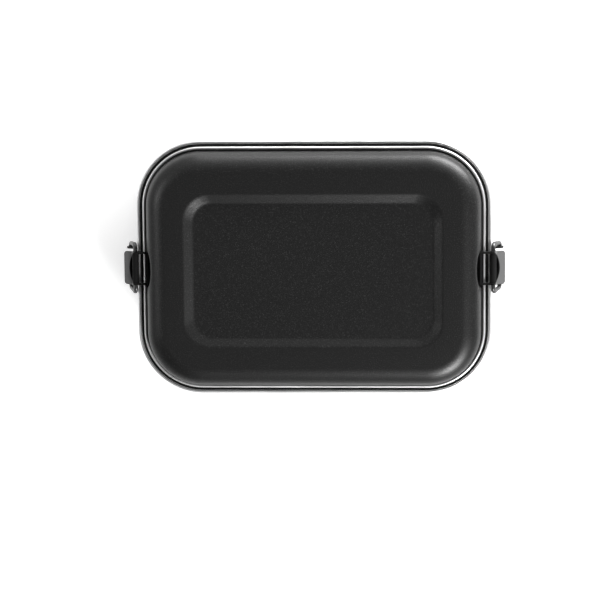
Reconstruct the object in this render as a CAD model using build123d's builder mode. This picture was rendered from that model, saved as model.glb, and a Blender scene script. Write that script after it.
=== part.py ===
from build123d import *
from math import radians, sqrt, tan
import os

# Metal lunch box, lying flat on its base: +Z goes up through the lid and X is the long direction.
# The origin is on the surface it rests on, under its middle. A wire-and-lever clip at each end
# holds the lid down. Lengths are in millimetres.

# Driving dimensions: the rolled rim of the body is the largest outline of the box.
rim_length = 180.0
rim_width = 130.0
rim_corner_r = 33.0
box_height = 62.0
sheet = 0.8
edge_sink = 0.05

# Body: a drawn pan with a flange round its mouth, which ends in a rolled rim.
rim_r = 0.8
flange_top = 49.2
wall_inset = 5.6
pan_bottom_r = 8.0
base_panel_length = 124.0
base_panel_width = 74.0
base_panel_corner_r = 14.0
base_panel_rise = 0.8
base_panel_slope = 45.0

# Lid: a domed pressing with a sunk panel, and a beaded edge that sits inside the body's rim.
lid_lift = 0.3
lid_edge_sheet = 0.7
bead_r = 0.75
bead_inset = 3.7
dome_inset = 5.2
shoulder_r = 10.0
panel_length = 130.8
panel_width = 78.0
panel_corner_r = 13.0
panel_slope = 4.6
panel_depth = 1.7

# Pockets pressed into the ends of the dome, where the clips' hooks come down inside the bead.
pocket_depth = 3.4
pocket_half_width = 10.0
pocket_taper = 8.0

# Seal: a silicone ring held inside the lid, with a lip that reaches into the body's mouth.
seal_ring_width = 5.4
seal_ring_height = 3.0
seal_lip_width = 2.6
seal_lip_depth = 2.8
seal_gap = 0.1
seal_fit = 0.02
seal_lip_fit = 0.5

# Clips. In a clip's own side view, x is the distance outwards from the rim's outer edge.
lever_half_width = 8.5
lever_sheet = 1.0
wire_r = 1.1
pivot_clearance = 0.05
bail_top = (0.9, 51.6)
bail_foot = (4.3, 40.6)
bail_top_half_width = 12.4
bail_foot_half_width = 11.4
bail_top_bend_r = 2.2
bail_foot_bend_r = 1.6
hook_inner = -5.75
hook_bottom = 50.75
hook_top = 53.0
hook_clearance = 0.3
arm_underside = 51.1
knuckle_sheet = 0.5
eye_sheet = 0.85
bow_apex = 5.2
bow_r = 15.9
bow_top = 50.4
cheek_top = 50.0
scoop_inner = 0.4
scoop_bottom = 44.0
lip_reach = 7.0
lip_root = 1.2
lip_root_top = 51.0
lip_edge_top = 48.4
lip_cover = 0.3
lip_corner_r = 1.5
side_gap = 0.3
ear_sheet = 1.0
ear_tip_r = 2.0
ear_root_height = 8.6
bracket_middle = 41.6
bracket_height = 9.6
bracket_fold_r = 0.8
weld_r = 1.3
weld_depth = 0.25
weld_across = 8.5
weld_apart = 4.25

# Worked out from the driving dimensions.
rim_height = flange_top - edge_sink
lid_base = flange_top + lid_lift
flange_bottom = flange_top - sheet
lid_edge_top = lid_base + lid_edge_sheet
bead_height = lid_base + bead_r - edge_sink
hole_r = wire_r + pivot_clearance
knuckle_r = hole_r + knuckle_sheet


def outline(inset, height):
    """A rounded rectangle inside the rim's outer edge, at a height."""
    with BuildSketch(Plane.XY.offset(height)) as profile:
        RectangleRounded(rim_length - 2 * inset, rim_width - 2 * inset, rim_corner_r - inset)
    return profile.sketch


def ring(inset, height, wire_radius):
    """A round bead that runs all the way round the box."""
    path = outline(inset, height).face().outer_wire()
    with BuildPart() as bead:
        with BuildSketch(Plane(origin=path @ 0, z_dir=path % 0)):
            Circle(wire_radius)
        sweep(path=path)
    return bead.part


def pan(inset, bottom, top, panel_growth):
    """The body's form out to its wall, or its food space when it starts one sheet further in."""
    with BuildPart() as block:
        add(outline(inset, bottom))
        extrude(amount=top - bottom)
        fillet(block.faces().sort_by(Axis.Z)[0].edges(), pan_bottom_r + wall_inset - inset)
        with BuildSketch(Plane.XY.offset(bottom)):
            RectangleRounded(
                base_panel_length + panel_growth,
                base_panel_width + panel_growth,
                base_panel_corner_r + panel_growth / 2,
            )
        extrude(amount=base_panel_rise, taper=base_panel_slope, mode=Mode.SUBTRACT)
    return block.part


def pockets(growth, bottom):
    """Tapered plugs that sink the clips' pockets into the ends of the dome."""
    spread = growth + (lid_edge_top - bottom) * tan(radians(pocket_taper))
    with BuildPart() as plugs:
        with BuildSketch(Plane.XY.offset(bottom)):
            with GridLocations(rim_length - 2 * dome_inset, 0, 2, 1):
                Ellipse(pocket_depth + spread, pocket_half_width + spread)
        extrude(amount=box_height - bottom, taper=pocket_taper)
    return plugs.part


def dome(depth, bottom, pocket_bottom):
    """The lid's outer form, or its hollow when it starts one sheet deeper."""
    top = box_height - depth
    with BuildPart() as block:
        add(outline(dome_inset + depth, bottom))
        extrude(amount=top - bottom)
        fillet(block.faces().sort_by(Axis.Z)[-1].edges(), shoulder_r - depth)
        for level, inset in ((top, -depth), (top - panel_depth, panel_slope - depth)):
            with BuildSketch(Plane.XY.offset(level)):
                RectangleRounded(
                    panel_length - 2 * inset, panel_width - 2 * inset, panel_corner_r - inset / 2
                )
        loft(mode=Mode.SUBTRACT)
        add(pockets(depth, pocket_bottom), mode=Mode.SUBTRACT)
    return block.part


def band(outer_inset, inner_inset, bottom, height):
    """A flat-sided ring between two insets from the rim's outer edge."""
    with BuildPart() as loop:
        add(outline(outer_inset, bottom))
        extrude(amount=height)
        add(outline(inner_inset, bottom))
        extrude(amount=height, mode=Mode.SUBTRACT)
    return loop.part


def clip_side(side, across=0.0):
    """Side view of a clip: local x outwards from the rim's edge, local y up, normal across it."""
    origin = (side * rim_length / 2, -side * across, 0)
    return Plane(origin=origin, x_dir=(side, 0, 0), z_dir=(0, -side, 0))


def clip_plan(side, height):
    """Plan view of a clip at a height: local x outwards from the rim's edge."""
    return Plane(origin=(side * rim_length / 2, 0, height), x_dir=(side, 0, 0))


def bracket(side):
    """Folded bracket, spot welded to the end wall, with two ears that carry the wire's feet."""
    outer = lever_half_width + side_gap + ear_sheet
    with BuildPart() as folded:
        with BuildSketch(clip_side(side)):
            with Locations((-wall_inset + ear_sheet / 2, bracket_middle)):
                Rectangle(ear_sheet, bracket_height)
        extrude(amount=outer, both=True)
        for start in (-outer, outer - ear_sheet):
            with BuildSketch(clip_side(side, start)):
                with Locations(bail_foot):
                    Circle(ear_tip_r)
                with Locations((-wall_inset + ear_sheet / 2, bracket_middle)):
                    Rectangle(ear_sheet, ear_root_height)
                make_hull()
                with Locations(bail_foot):
                    Circle(hole_r, mode=Mode.SUBTRACT)
            extrude(amount=ear_sheet)
        fold = folded.edges().filter_by(Axis.Z).group_by(Axis.X, reverse=side < 0)[0]
        fillet(fold, bracket_fold_r)
        face_x = side * (rim_length / 2 - wall_inset + ear_sheet)
        with BuildSketch(Plane(origin=(face_x, 0, bracket_middle), z_dir=(side, 0, 0))):
            with GridLocations(weld_across, weld_apart, 2, 1):
                Circle(weld_r)
        extrude(amount=-weld_depth, mode=Mode.SUBTRACT)
    return folded.part


def bail(side):
    """Wire bail: its feet turn in through the bracket's ears, its top bar carries the lever."""
    foot_end = lever_half_width + side_gap
    stations = [
        (*bail_foot, foot_end),
        (*bail_foot, bail_foot_half_width),
        (*bail_top, bail_top_half_width),
    ]
    points = [(side * (rim_length / 2 + x), -y, z) for x, z, y in stations]
    points += [(side * (rim_length / 2 + x), y, z) for x, z, y in reversed(stations)]
    bends = [bail_foot_bend_r, bail_top_bend_r, bail_top_bend_r, bail_foot_bend_r]
    with BuildPart() as wire:
        with BuildLine() as route:
            FilletPolyline(*points, radius=bends)
        with BuildSketch(Plane(origin=route.line @ 0, z_dir=route.line % 0)):
            Circle(wire_r)
        sweep(path=route.line)
    return wire.part


def bow_strip(side, height):
    """Plan section of the lever's scoop: a strip of sheet bowed outwards across the clip."""
    with BuildSketch(clip_plan(side, height)) as strip:
        with Locations((bow_apex - bow_r, 0)):
            Circle(bow_r)
            Circle(bow_r - lever_sheet, mode=Mode.SUBTRACT)
        with Locations((bow_apex, 0)):
            Rectangle(bow_r, 2 * lever_half_width, mode=Mode.INTERSECT)
    return strip.sketch


def lip(side):
    """Finger lip: a sheet that slopes down and outwards from the bowed top of the scoop."""
    with BuildPart() as tab:
        with BuildSketch(clip_side(side)):
            with BuildLine():
                Polyline(
                    (lip_root, lip_root_top),
                    (lip_reach, lip_edge_top),
                    (lip_reach, lip_edge_top - lever_sheet),
                    (lip_root, lip_root_top - lever_sheet),
                    close=True,
                )
            make_face()
        extrude(amount=lever_half_width, both=True)
        with BuildSketch(clip_plan(side, scoop_bottom)):
            with Locations((bow_apex - bow_r, 0)):
                Circle(bow_r - lever_sheet)
        extrude(amount=box_height - scoop_bottom, mode=Mode.SUBTRACT)
    return tab.part


def scoop(side):
    """Hollow below the lip: its wall starts bowed and comes in to a straight bottom edge."""
    with BuildPart() as shell:
        with BuildSketch(clip_plan(side, scoop_bottom)):
            with Locations((scoop_inner + lever_sheet / 2, 0)):
                Rectangle(lever_sheet, 2 * lever_half_width)
        add(bow_strip(side, bow_top))
        loft(ruled=True)
        with BuildSketch(clip_side(side)):
            with BuildLine():
                Polyline(
                    (lip_root, lip_root_top - lip_cover),
                    (lip_reach, lip_edge_top - lip_cover),
                    (lip_reach, box_height),
                    (lip_root, box_height),
                    close=True,
                )
            make_face()
        extrude(amount=2 * lever_half_width, both=True, mode=Mode.SUBTRACT)
    return shell.part


def lever(side):
    """Lever: it turns on the wire by a rolled knuckle, hooks behind the bead and ends in a lip."""
    bow_end = bow_apex - bow_r + sqrt(bow_r**2 - lever_half_width**2)
    inner = lever_half_width - lever_sheet
    top_x, top_z = bail_top
    with BuildPart() as stamped:
        for start in (-lever_half_width, inner):
            with BuildSketch(clip_side(side, start)):
                with BuildLine():
                    Polyline(
                        (hook_inner, hook_bottom),
                        (hook_inner, hook_top),
                        (top_x, top_z + knuckle_r),
                        (top_x, arm_underside),
                        (hook_inner + lever_sheet, arm_underside),
                        (hook_inner + lever_sheet, hook_bottom),
                        close=True,
                    )
                make_face()
                with Locations(bail_top):
                    Circle(hole_r + eye_sheet)
                with Locations((-bead_inset, bead_height)):
                    Circle(bead_r + hook_clearance, mode=Mode.SUBTRACT)
                with Locations((-rim_r, rim_height)):
                    Circle(rim_r + hook_clearance, mode=Mode.SUBTRACT)
                with BuildLine():
                    Polyline(
                        (scoop_inner, cheek_top),
                        (scoop_inner, scoop_bottom),
                        (scoop_inner + lever_sheet, scoop_bottom),
                        (bow_end, cheek_top),
                        close=True,
                    )
                make_face()
            extrude(amount=lever_sheet)
        with BuildSketch(clip_side(side)):
            with Locations((hook_inner + lever_sheet / 2, (hook_bottom + hook_top) / 2)):
                Rectangle(lever_sheet, hook_top - hook_bottom)
            with Locations(bail_top):
                Circle(knuckle_r)
        extrude(amount=inner, both=True)
        add(scoop(side))
        add(lip(side))
        with BuildSketch(clip_plan(side, scoop_bottom)):
            RectangleRounded(2 * lip_reach, 2 * lever_half_width, lip_corner_r)
        extrude(amount=box_height - scoop_bottom, mode=Mode.INTERSECT)
        with BuildSketch(clip_side(side)):
            with Locations(bail_top):
                Circle(hole_r)
        extrude(amount=lever_half_width, both=True, mode=Mode.SUBTRACT)
    return stamped.part


with BuildPart() as body_shell:
    add(pan(wall_inset, 0, flange_top, 0))
    add(outline(rim_r, flange_bottom))
    extrude(amount=sheet)
    add(ring(rim_r, rim_height, rim_r))
    add(pan(wall_inset + sheet, sheet, box_height, sheet), mode=Mode.SUBTRACT)

with BuildPart() as lid_shell:
    add(dome(0, lid_base, lid_edge_top))
    add(outline(bead_inset, lid_base))
    extrude(amount=lid_edge_sheet)
    add(ring(bead_inset, bead_height, bead_r))
    add(dome(sheet, flange_bottom, flange_bottom), mode=Mode.SUBTRACT)

with BuildPart() as seal:
    ring_outer = dome_inset + sheet + seal_fit
    seal_bottom = flange_top + seal_gap
    lip_outer = wall_inset + sheet + seal_lip_fit
    add(band(ring_outer, ring_outer + seal_ring_width, seal_bottom, seal_ring_height))
    add(pockets(sheet + seal_gap, flange_bottom), mode=Mode.SUBTRACT)
    add(band(lip_outer, lip_outer + seal_lip_width, seal_bottom - seal_lip_depth, seal_lip_depth))

pieces = {"body_shell": body_shell.part, "lid_shell": lid_shell.part, "seal": seal.part}
for side, name in ((-1, "left"), (1, "right")):
    pieces[f"bracket_{name}"] = bracket(side)
    pieces[f"bail_{name}"] = bail(side)
    pieces[f"lever_{name}"] = lever(side)

os.makedirs("parts", exist_ok=True)
for name, piece in pieces.items():
    piece.label = name
    export_step(piece, f"parts/{name}.step")
    print(name, round(piece.volume, 1), len(piece.solids()))
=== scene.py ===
from math import cos, radians, sin, sqrt, tan

import bpy
from mathutils import Matrix, Vector


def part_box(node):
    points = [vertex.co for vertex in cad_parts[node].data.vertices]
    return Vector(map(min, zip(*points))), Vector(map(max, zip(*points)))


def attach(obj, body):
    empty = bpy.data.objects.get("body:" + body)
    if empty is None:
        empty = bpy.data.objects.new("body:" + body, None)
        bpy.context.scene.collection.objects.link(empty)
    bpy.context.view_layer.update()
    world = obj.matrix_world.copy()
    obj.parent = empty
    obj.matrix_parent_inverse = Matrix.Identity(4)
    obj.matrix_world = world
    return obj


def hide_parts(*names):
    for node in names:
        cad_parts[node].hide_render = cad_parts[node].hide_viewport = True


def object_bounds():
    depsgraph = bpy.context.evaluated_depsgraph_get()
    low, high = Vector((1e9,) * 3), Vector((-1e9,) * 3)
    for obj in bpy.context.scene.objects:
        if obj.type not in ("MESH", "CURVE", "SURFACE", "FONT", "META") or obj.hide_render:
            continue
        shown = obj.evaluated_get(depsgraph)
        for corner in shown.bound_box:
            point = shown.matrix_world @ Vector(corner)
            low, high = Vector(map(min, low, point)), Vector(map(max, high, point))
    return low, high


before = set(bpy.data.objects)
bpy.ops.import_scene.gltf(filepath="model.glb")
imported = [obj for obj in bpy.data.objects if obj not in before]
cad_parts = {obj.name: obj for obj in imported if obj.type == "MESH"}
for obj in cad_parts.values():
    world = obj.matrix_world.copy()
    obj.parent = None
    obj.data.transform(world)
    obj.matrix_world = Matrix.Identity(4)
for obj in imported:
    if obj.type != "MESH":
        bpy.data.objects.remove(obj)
cad_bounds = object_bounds()

# A metal lunch box lying on its base, seen from over its lid. Scene lengths are in metres, in the
# CAD model's frame: +Z up through the lid, X along the box from clip to clip. The shells below are
# worked out in millimetres and scaled when their meshes are made.

low, high = cad_bounds
centre = (low + high) / 2
body_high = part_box("body_shell")[1]
lid_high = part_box("lid_shell")[1]
MM = 0.001

# The rim's outline and the heights that the shells hang on, from the CAD nodes' own boxes.
half_x = body_high.x / MM
half_y = body_high.y / MM
rim_top = body_high.z / MM
lid_top = lid_high.z / MM
corner_r = 33.0
rim_r = 0.8
sheet = 0.8
seam = 0.02


# ---- Materials ---------------------------------------------------------------------------------


def new_material(name):
    """A material with nodes, and its tree, shader and object coordinates."""
    material = bpy.data.materials.new(name)
    material.use_nodes = True
    tree = material.node_tree
    shader = tree.nodes["Principled BSDF"]
    place = tree.nodes.new("ShaderNodeTexCoord").outputs["Object"]
    return material, tree, shader, place


def noise(tree, place, scale, detail=2.0, roughness=0.5):
    """A noise pattern in object space; scale is in cells per metre."""
    node = tree.nodes.new("ShaderNodeTexNoise")
    node.inputs["Scale"].default_value = scale
    node.inputs["Detail"].default_value = detail
    node.inputs["Roughness"].default_value = roughness
    tree.links.new(place, node.inputs["Vector"])
    return node.outputs["Fac"]


def ramp(tree, value, *stops):
    """Maps a value to greys or colours at the given positions."""
    node = tree.nodes.new("ShaderNodeValToRGB")
    band = node.color_ramp
    while len(band.elements) < len(stops):
        band.elements.new(0.5)
    for element, (position, colour) in zip(band.elements, stops):
        element.position = position
        grey = (colour, colour, colour) if isinstance(colour, float) else colour
        element.color = (*grey, 1.0)
    tree.links.new(value, node.inputs["Fac"])
    return node.outputs["Color"]


def bump(tree, shader, height, strength, distance):
    """Raises a surface's fine relief from a height pattern."""
    node = tree.nodes.new("ShaderNodeBump")
    node.inputs["Strength"].default_value = strength
    node.inputs["Distance"].default_value = distance
    tree.links.new(height, node.inputs["Height"])
    tree.links.new(node.outputs["Normal"], shader.inputs["Normal"])


def powder_coat(name, dark, light, roughness, grain_size):
    """Matt black powder coat: a fine orange-peel grain with paler specks on its peaks."""
    material, tree, shader, place = new_material(name)
    grain = noise(tree, place, 1 / grain_size, 3.0, 0.6)
    colour = ramp(tree, grain, (0.42, dark), (0.58, light), (0.7, light * 3.5))
    tree.links.new(colour, shader.inputs["Base Color"])
    gloss = ramp(tree, grain, (0.35, roughness + 0.06), (0.7, roughness - 0.08))
    tree.links.new(gloss, shader.inputs["Roughness"])
    shader.inputs["Specular IOR Level"].default_value = 0.5
    bump(tree, shader, grain, 0.9, 0.06 * MM)
    return material


def bare_steel(name, colour, roughness, grain_size, direction):
    """Bare steel: metallic, with drawn lines along one direction."""
    material, tree, shader, place = new_material(name)
    shader.inputs["Metallic"].default_value = 1.0
    stretch = tree.nodes.new("ShaderNodeMapping")
    stretch.inputs["Scale"].default_value = [0.02 if d else 1.0 for d in direction]
    tree.links.new(place, stretch.inputs["Vector"])
    lines = noise(tree, stretch.outputs["Vector"], 1 / grain_size, 2.0)
    shade = ramp(tree, lines, (0.3, colour * 0.85), (0.7, colour))
    tree.links.new(shade, shader.inputs["Base Color"])
    gloss = ramp(tree, lines, (0.3, roughness), (0.7, roughness + 0.1))
    tree.links.new(gloss, shader.inputs["Roughness"])
    bump(tree, shader, lines, 0.06, 0.01 * MM)
    return material


def reckon(tree, operation, first, second=0.0):
    """One step of arithmetic in a material; each input is a number or another node's output."""
    node = tree.nodes.new("ShaderNodeMath")
    node.operation = operation
    for socket, value in zip(node.inputs, (first, second)):
        if isinstance(value, (int, float)):
            socket.default_value = value
        else:
            tree.links.new(value, socket)
    return node.outputs["Value"]


def length(tree, first, second):
    """The length of a line with the two given parts at right angles."""
    first_square = reckon(tree, "MULTIPLY", first, first)
    second_square = reckon(tree, "MULTIPLY", second, second)
    return reckon(tree, "SQRT", reckon(tree, "ADD", first_square, second_square))


def lever_coat(name, lip_start, lip_bow_r):
    """Black coat of a lever, with painted light: near black in its hollow and on its hook as
    painted shade, and a paler satin lip as a painted sheen.
    """
    material, tree, shader, place = new_material(name)
    split = tree.nodes.new("ShaderNodeSeparateXYZ")
    tree.links.new(place, split.inputs["Vector"])
    out = reckon(tree, "SUBTRACT", reckon(tree, "ABSOLUTE", split.outputs["X"]), lip_start)
    past_bow = reckon(tree, "SUBTRACT", length(tree, out, split.outputs["Y"]), lip_bow_r)
    on_lip = reckon(tree, "MULTIPLY", past_bow, 1 / (0.3 * MM))
    grain = noise(tree, place, 1 / (0.2 * MM), 3.0, 0.6)
    # Painted shade and sheen: the base colour is near black inside the lip's bow, where the hollow
    # and hook lie in shade. It is paler out on the lip, as a painted sheen of the light above.
    painted_shade_and_sheen = ramp(tree, on_lip, (0.0, 0.002), (1.0, 0.14))
    speckled_shade_and_sheen = tree.nodes.new("ShaderNodeMixRGB")
    speckled_shade_and_sheen.blend_type = "MULTIPLY"
    speckled_shade_and_sheen.inputs["Fac"].default_value = 0.5
    tree.links.new(painted_shade_and_sheen, speckled_shade_and_sheen.inputs["Color1"])
    tree.links.new(ramp(tree, grain, (0.3, 0.7), (0.7, 1.0)), speckled_shade_and_sheen.inputs["Color2"])
    tree.links.new(speckled_shade_and_sheen.outputs["Color"], shader.inputs["Base Color"])
    tree.links.new(ramp(tree, on_lip, (0.0, 0.8), (1.0, 0.4)), shader.inputs["Roughness"])
    shader.inputs["Specular IOR Level"].default_value = 0.25
    bump(tree, shader, grain, 0.25, 0.02 * MM)
    return material


coat = powder_coat("black_powder_coat", 0.003, 0.011, 0.375, 0.5 * MM)
clip_coat = powder_coat("black_clip_coat", 0.008, 0.014, 0.5, 0.2 * MM)
# The levers' coat carries painted shade in its hollow and a painted sheen on its lip.
lever_painted_shade_coat = lever_coat("black_lever_coat_painted_shade", (half_x - 10.7) * MM, 14.8 * MM)
rubber = powder_coat("black_silicone", 0.02, 0.026, 0.6, 0.4 * MM)
polished = bare_steel("polished_steel", 0.97, 0.42, 0.4 * MM, (1, 1, 0))
satin = bare_steel("satin_steel", 0.85, 0.42, 0.4 * MM, (1, 1, 0))
brushed = bare_steel("brushed_steel", 0.6, 0.32, 0.25 * MM, (1, 0, 0))
wire_steel = bare_steel("wire_steel", 0.11, 0.32, 0.2 * MM, (0, 0, 1))
floor_white = bpy.data.materials.new("floor_white")


# ---- Shell meshes ------------------------------------------------------------------------------

# Both shells are stacks of loops. Each loop is a rounded rectangle with the same number of
# points, so neighbouring loops join up in quads. The ends have close stations for the pockets.

corner_steps = 28
side_steps = 24
pocket_reach = 12.0
fine_step = 0.4
coarse_step = 3.0


def end_stations(half_straight):
    """Stations across an end, close together where a clip's pocket is."""
    fine_count = int(round(2 * pocket_reach / fine_step))
    coarse_count = int(round((half_straight - pocket_reach) / coarse_step))
    fine = [-pocket_reach + fine_step * i for i in range(fine_count + 1)]
    outer = [pocket_reach + (half_straight - pocket_reach) * i / coarse_count
             for i in range(1, coarse_count + 1)]
    return [-v for v in reversed(outer)] + fine + outer


straight_y = half_y - corner_r
end_marks = [v / straight_y for v in end_stations(straight_y)]
side_marks = [-1 + 2 * i / side_steps for i in range(side_steps + 1)]


def rounded_loop(reach_x, reach_y, radius):
    """Points round a rounded rectangle, counter-clockwise from the middle of its +X corner."""
    flat_x, flat_y = reach_x - radius, reach_y - radius
    points = [(reach_x, mark * flat_y) for mark in end_marks]
    arcs = [
        (flat_x, flat_y, 0),
        (-flat_x, flat_y, 90),
        (-flat_x, -flat_y, 180),
        (flat_x, -flat_y, 270),
    ]
    sides = [
        [(-mark * flat_x, reach_y) for mark in side_marks],
        [(-reach_x, -mark * flat_y) for mark in end_marks],
        [(mark * flat_x, -reach_y) for mark in side_marks],
        [],
    ]
    for (x, y, start), side in zip(arcs, sides):
        for step in range(1, corner_steps):
            turn = radians(start + 90 * step / corner_steps)
            points.append((x + radius * cos(turn), y + radius * sin(turn)))
        points += side
    return points


def arc(centre_in, centre_z, radius, start, end, steps):
    """Stations round a bend: (inset, z) pairs. 0 degrees points outwards and 90 up."""
    turns = [radians(start + (end - start) * i / steps) for i in range(steps + 1)]
    return [(centre_in - radius * cos(t), centre_z + radius * sin(t)) for t in turns]


def rim_station(inset, z, finish, pocket=None):
    """A loop at an inset from the rim's outer edge, with a finish and perhaps a pocket."""
    return (half_x - inset, half_y - inset, corner_r - inset, z, finish, pocket)


def stack(name, stations, materials, shape=None):
    """A closed shell through the stations, capped flat at both ends."""
    vertices, faces, finishes = [], [], []
    for reach_x, reach_y, radius, z, finish, pocket in stations:
        for x, y in rounded_loop(reach_x, reach_y, radius):
            if shape and pocket is not None:
                x = shape(x, y, z, pocket)
            vertices.append((x * MM, y * MM, z * MM))
    count = len(vertices) // len(stations)
    for level in range(len(stations) - 1):
        for i in range(count):
            j = (i + 1) % count
            here, above = level * count, (level + 1) * count
            faces.append((here + i, here + j, above + j, above + i))
            finishes.append(stations[level + 1][4])
    faces.append(tuple(reversed(range(count))))
    finishes.append(stations[0][4])
    faces.append(tuple(range(len(vertices) - count, len(vertices))))
    finishes.append(stations[-1][4])
    mesh = bpy.data.meshes.new(name)
    mesh.from_pydata(vertices, [], faces)
    for material in materials:
        mesh.materials.append(material)
    for polygon, finish in zip(mesh.polygons, finishes):
        polygon.material_index = finish
        polygon.use_smooth = True
    mesh.update()
    piece = bpy.data.objects.new(name, mesh)
    bpy.context.scene.collection.objects.link(piece)
    return piece


# Finishes, by their place in the shells' material lists.
COAT, BARE, INSIDE, SATIN = 0, 1, 2, 3

lid_base = lid_top - 12.5
edge_top = lid_base + 0.7
foot_r, foot_height = 0.45, 0.8
bead_in, bead_r = 3.7, 0.75
bead_z = lid_base + 0.7
wall_in = 5.2
# The shoulder bends tighter above the wall (its brow) than towards the flat top (its crown).
shoulder_run = 10.0
crown_r = 12.0
bend_turn = 50
brow_r = (shoulder_run - crown_r * cos(radians(bend_turn))) / (1 - cos(radians(bend_turn)))
crown_z = lid_top - crown_r
brow_z = crown_z + (crown_r - brow_r) * sin(radians(bend_turn))
pocket_depth, pocket_half, pocket_blend = 3.4, 10.0, 0.9
pocket_slope = tan(radians(8))
panel_x, panel_y, panel_r = 65.4, 39.0, 13.0
panel_run, panel_depth, panel_edge = 4.6, 1.7, 1.5


def smooth_min(a, b, blend):
    """The smaller of two lengths, rounded off where they are nearly equal."""
    near = max(blend - abs(a - b), 0) / blend
    return min(a, b) - near * near * blend / 4


def pocket_wall(y, z, growth):
    """How far out the pocket's wall is, on the +X end, at a place across it and a height."""
    rise = (z - edge_top) * pocket_slope
    depth = pocket_depth + growth - rise
    half = pocket_half + growth - rise
    edge = half_x - wall_in
    if abs(y) >= half:
        return edge + 3 * (abs(y) - half)
    return edge - depth * sqrt(1 - (y / half) ** 2)


def sink_pocket(x, y, z, pocket):
    """Moves a point of the dome inwards where a pocket is; foot points keep to the wall above."""
    growth, follows = pocket
    limit = pocket_wall(y, max(z, edge_top), growth)
    reach = abs(x)
    if follows is None:
        moved = smooth_min(reach, limit, pocket_blend)
    else:
        moved = reach - (follows - smooth_min(follows, limit, pocket_blend))
    return moved if x > 0 else -moved


def panel_profile(offset, steps=22):
    """Stations down the recess, as (inset, drop): a straight slope with rounded edges."""
    start, end = -panel_edge / 2, panel_run + panel_edge / 2
    steepest = panel_depth / panel_run
    profile, drop = [], 0.0
    previous, last_slope = start, 0.0
    for i in range(steps + 1):
        inset = start + (end - start) * i / steps
        slope = steepest * min(1.0, (inset - start) / panel_edge, (end - inset) / panel_edge)
        drop += (inset - previous) * (slope + last_slope) / 2
        previous, last_slope = inset, slope
        profile.append((inset + offset, drop))
    scale = panel_depth / profile[-1][1]
    return [(inset, drop * scale) for inset, drop in profile]


def panel_station(inset, z, finish):
    """A loop round the recess, at an inset from its outer edge."""
    return (panel_x - inset, panel_y - inset, panel_r - inset / 2, z, finish, None)


def shoulder(inward):
    """Stations up the shoulder from the wall to the flat top, a distance inside its outer skin."""
    brow = arc(wall_in + brow_r, brow_z, brow_r - inward, 0, bend_turn, 16)
    return brow + arc(wall_in + shoulder_run, crown_z, crown_r - inward, bend_turn, 90, 14)[1:]


def lid_stations():
    """The lid's section from the middle of its underside, out round its edge, to its top panel."""
    inner_top = lid_top - sheet
    inner_wall = wall_in + sheet
    stations = [panel_station(inset, inner_top - drop, INSIDE)
                for inset, drop in reversed(panel_profile(-0.15))]
    stations += [rim_station(i, z, INSIDE, (sheet, None)) for i, z in reversed(shoulder(sheet))]
    stations.append(rim_station(inner_wall, lid_base, INSIDE, (sheet, None)))
    stations.append(rim_station(inner_wall - seam, lid_base, COAT, (sheet, inner_wall_reach)))
    stations += [rim_station(i, z, BARE) for i, z in arc(bead_in, bead_z, bead_r, -105, 90, 16)]
    stations += [rim_station(i, z, BARE) for i, z in arc(bead_in, bead_z, bead_r, 104, 150, 4)]
    stations.append(rim_station(bead_in + bead_r - seam, edge_top + seam, COAT))
    foot_in, foot_z = wall_in - foot_r, edge_top + foot_r
    foot = [(foot_in + foot_r * sin(radians(t)), foot_z - foot_r * cos(radians(t)))
            for t in (0, 18, 36, 54, 72, 90)]
    stations += [rim_station(i, z, COAT, (0.0, half_x - wall_in)) for i, z in foot]
    stations.append(rim_station(wall_in, edge_top + foot_height, COAT, (0.0, None)))
    stations += [rim_station(i, z, COAT, (0.0, None)) for i, z in shoulder(0.0)]
    stations += [panel_station(inset, lid_top - drop, COAT) for inset, drop in panel_profile(0.0)]
    return stations


inner_wall_reach = half_x - wall_in - sheet
lid_skin = stack("lid_skin", lid_stations(), [coat, polished, brushed], sink_pocket)
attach(lid_skin, "lid")
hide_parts("lid_shell")


body_wall = 5.6
flange_top = rim_top - rim_r + 0.05
flange_low = flange_top - sheet
base_x, base_y, base_r = 62.0, 37.0, 14.0
base_rise = 0.8
pan_r = 8.0
bend_r = 1.0
rim_z = rim_top - rim_r
# The slit of the rim's rolled hem and its lip, as (inset, height above the rim's middle, finish).
hem_lip = [(1.26, 0.5, COAT), (1.34, 0.5, COAT), (1.42, 0.56, SATIN), (1.62, 0.44, SATIN)]


def base_station(outward, z, finish):
    """A loop round the raised base panel, at a distance outside its edge."""
    return (base_x + outward, base_y + outward, base_r + outward, z, finish, None)


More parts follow.
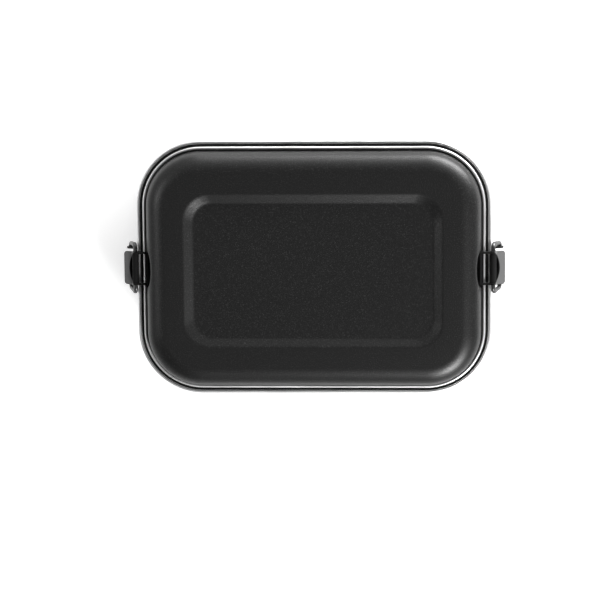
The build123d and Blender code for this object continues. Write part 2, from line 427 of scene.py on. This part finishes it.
def body_stations():
    """The body's section from the middle of its base, out round its rim, to its inner bottom."""
    stations = [base_station(-base_rise, base_rise, COAT)]
    stations.append(base_station(-0.12, 0.12, COAT))
    stations.append(base_station(0.15, 0.0, COAT))
    bend = arc(body_wall + pan_r, pan_r, pan_r, -90, 0, 16)
    stations += [rim_station(i, z, COAT) for i, z in bend]
    bend_in, bend_z = body_wall - bend_r, flange_low - bend_r
    bend = [(bend_in + bend_r * cos(radians(t)), bend_z + bend_r * sin(radians(t)))
            for t in (0, 22.5, 45, 67.5, 90)]
    stations += [rim_station(i, z, COAT) for i, z in bend]
    stations.append(rim_station(rim_r + 0.7, flange_low, COAT))
    stations += [rim_station(i, z, SATIN) for i, z in arc(rim_r, rim_z, rim_r, -100, 118, 22)]
    stations += [rim_station(i, rim_z + rise, finish) for i, rise, finish in hem_lip]
    stations.append(rim_station(1.66, flange_top, COAT))
    outer_r = bend_r + sheet
    bend = [(bend_in + outer_r * sin(radians(t)), flange_top - outer_r + outer_r * cos(radians(t)))
            for t in (0, 18, 36, 54, 72, 90)]
    stations += [rim_station(i, z, COAT) for i, z in bend]
    bend = arc(body_wall + pan_r, pan_r, pan_r - sheet, 0, -90, 12)
    stations += [rim_station(i, z, INSIDE) for i, z in bend]
    stations.append(base_station(0.4, sheet, INSIDE))
    stations.append(base_station(-0.4, sheet + base_rise, INSIDE))
    return stations


body_skin = stack("body_skin", body_stations(), [coat, polished, brushed, satin])
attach(body_skin, "box")
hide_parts("body_shell")


# ---- Carried-over nodes ------------------------------------------------------------------------

finishes = {"seal": rubber, "body_shell": coat, "lid_shell": coat}
for side in ("left", "right"):
    finishes[f"bracket_{side}"] = clip_coat
    finishes[f"lever_{side}"] = lever_painted_shade_coat
    finishes[f"bail_{side}"] = wire_steel

for node, material in finishes.items():
    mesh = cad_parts[node].data
    mesh.materials.clear()
    mesh.materials.append(material)


# ---- Floor, lights and camera ------------------------------------------------------------------

floor_white.use_nodes = True
paper = floor_white.node_tree.nodes["Principled BSDF"]
paper.inputs["Base Color"].default_value = (0.8, 0.8, 0.8, 1.0)
paper.inputs["Roughness"].default_value = 0.9
paper.inputs["Emission Color"].default_value = (1.0, 1.0, 1.0, 1.0)
paper.inputs["Emission Strength"].default_value = 0.5

bpy.ops.mesh.primitive_plane_add(size=12.0, location=(0, 0, 0))
floor = bpy.context.object
floor.name = "floor"
floor.data.materials.append(floor_white)


def area_light(name, place, size, power, target=centre):
    """A soft box that faces the target."""
    data = bpy.data.lights.new(name, "AREA")
    data.shape = "RECTANGLE"
    data.size, data.size_y = size
    data.energy = power
    light = bpy.data.objects.new(name, data)
    light.location = place
    light.rotation_mode = "QUATERNION"
    light.rotation_quaternion = (target - Vector(place)).to_track_quat("-Z", "Y")
    bpy.context.scene.collection.objects.link(light)
    return light


area_light("key", (0.78, 1.3, 0.42), (1.5, 0.6), 57)
area_light("fill", (0.52, -0.85, 0.86), (0.3, 0.3), 15)
area_light("side", (-0.9, 0.1, 0.88), (0.36, 0.36), 2.0)

# The studio: a pale band round the horizon, and above it walls that are palest towards +Y, round a
# dark ceiling.
world = bpy.data.worlds.new("studio")
bpy.context.scene.world = world
world.use_nodes = True
sky = world.node_tree
heading = sky.nodes.new("ShaderNodeTexCoord").outputs["Generated"]
split = sky.nodes.new("ShaderNodeSeparateXYZ")
sky.links.new(heading, split.inputs["Vector"])
wall_stops = (0.0, 0.97), (0.1, 0.95), (0.18, 0.5), (0.7, 0.4), (0.88, 0.14), (1.0, 0.02)
height = ramp(sky, split.outputs["Z"], *wall_stops)
level = length(sky, split.outputs["X"], split.outputs["Y"])
toward = reckon(sky, "DIVIDE", split.outputs["Y"], level)
facing = reckon(sky, "MULTIPLY", reckon(sky, "ADD", toward, 1.0), 0.5)
lit = ramp(sky, facing, (0.0, 0.08), (0.1, 0.15), (0.45, 0.2), (0.85, 0.9), (1.0, 1.0))
shade = sky.nodes.new("ShaderNodeMixRGB")
shade.blend_type = "MULTIPLY"
sky.links.new(ramp(sky, split.outputs["Z"], (0.1, 0.0), (0.17, 1.0)), shade.inputs["Fac"])
sky.links.new(height, shade.inputs["Color1"])
sky.links.new(lit, shade.inputs["Color2"])
sky.links.new(shade.outputs["Color"], sky.nodes["Background"].inputs["Color"])
sky.nodes["Background"].inputs["Strength"].default_value = 1.0
bpy.context.scene.view_settings.view_transform = "Standard"

camera_turn = radians(3.0)
camera_tilt = radians(9.5)
camera_distance = 1.5
frame_width = 0.305
image_width = 600
sensor = 36.0
aim_right, aim_down = -14.0, -32.3

camera_data = bpy.data.cameras.new("camera")
camera_data.sensor_width = sensor
camera_data.lens = sensor * camera_distance / frame_width
camera = bpy.data.objects.new("camera", camera_data)
back = Vector((tan(camera_turn), tan(camera_tilt), 1.0)).normalized()
across = Vector((1, 0, 0))
across = (across - back * across.dot(back)).normalized()
upward = back.cross(across)
pixel = frame_width / image_width
aim = Vector((centre.x, centre.y, body_high.z))
aim += across * aim_right * pixel + upward * aim_down * pixel
turned = Matrix((across, upward, back)).transposed().to_4x4()
camera.matrix_world = Matrix.Translation(aim + back * camera_distance) @ turned
bpy.context.scene.collection.objects.link(camera)
bpy.context.scene.camera = camera
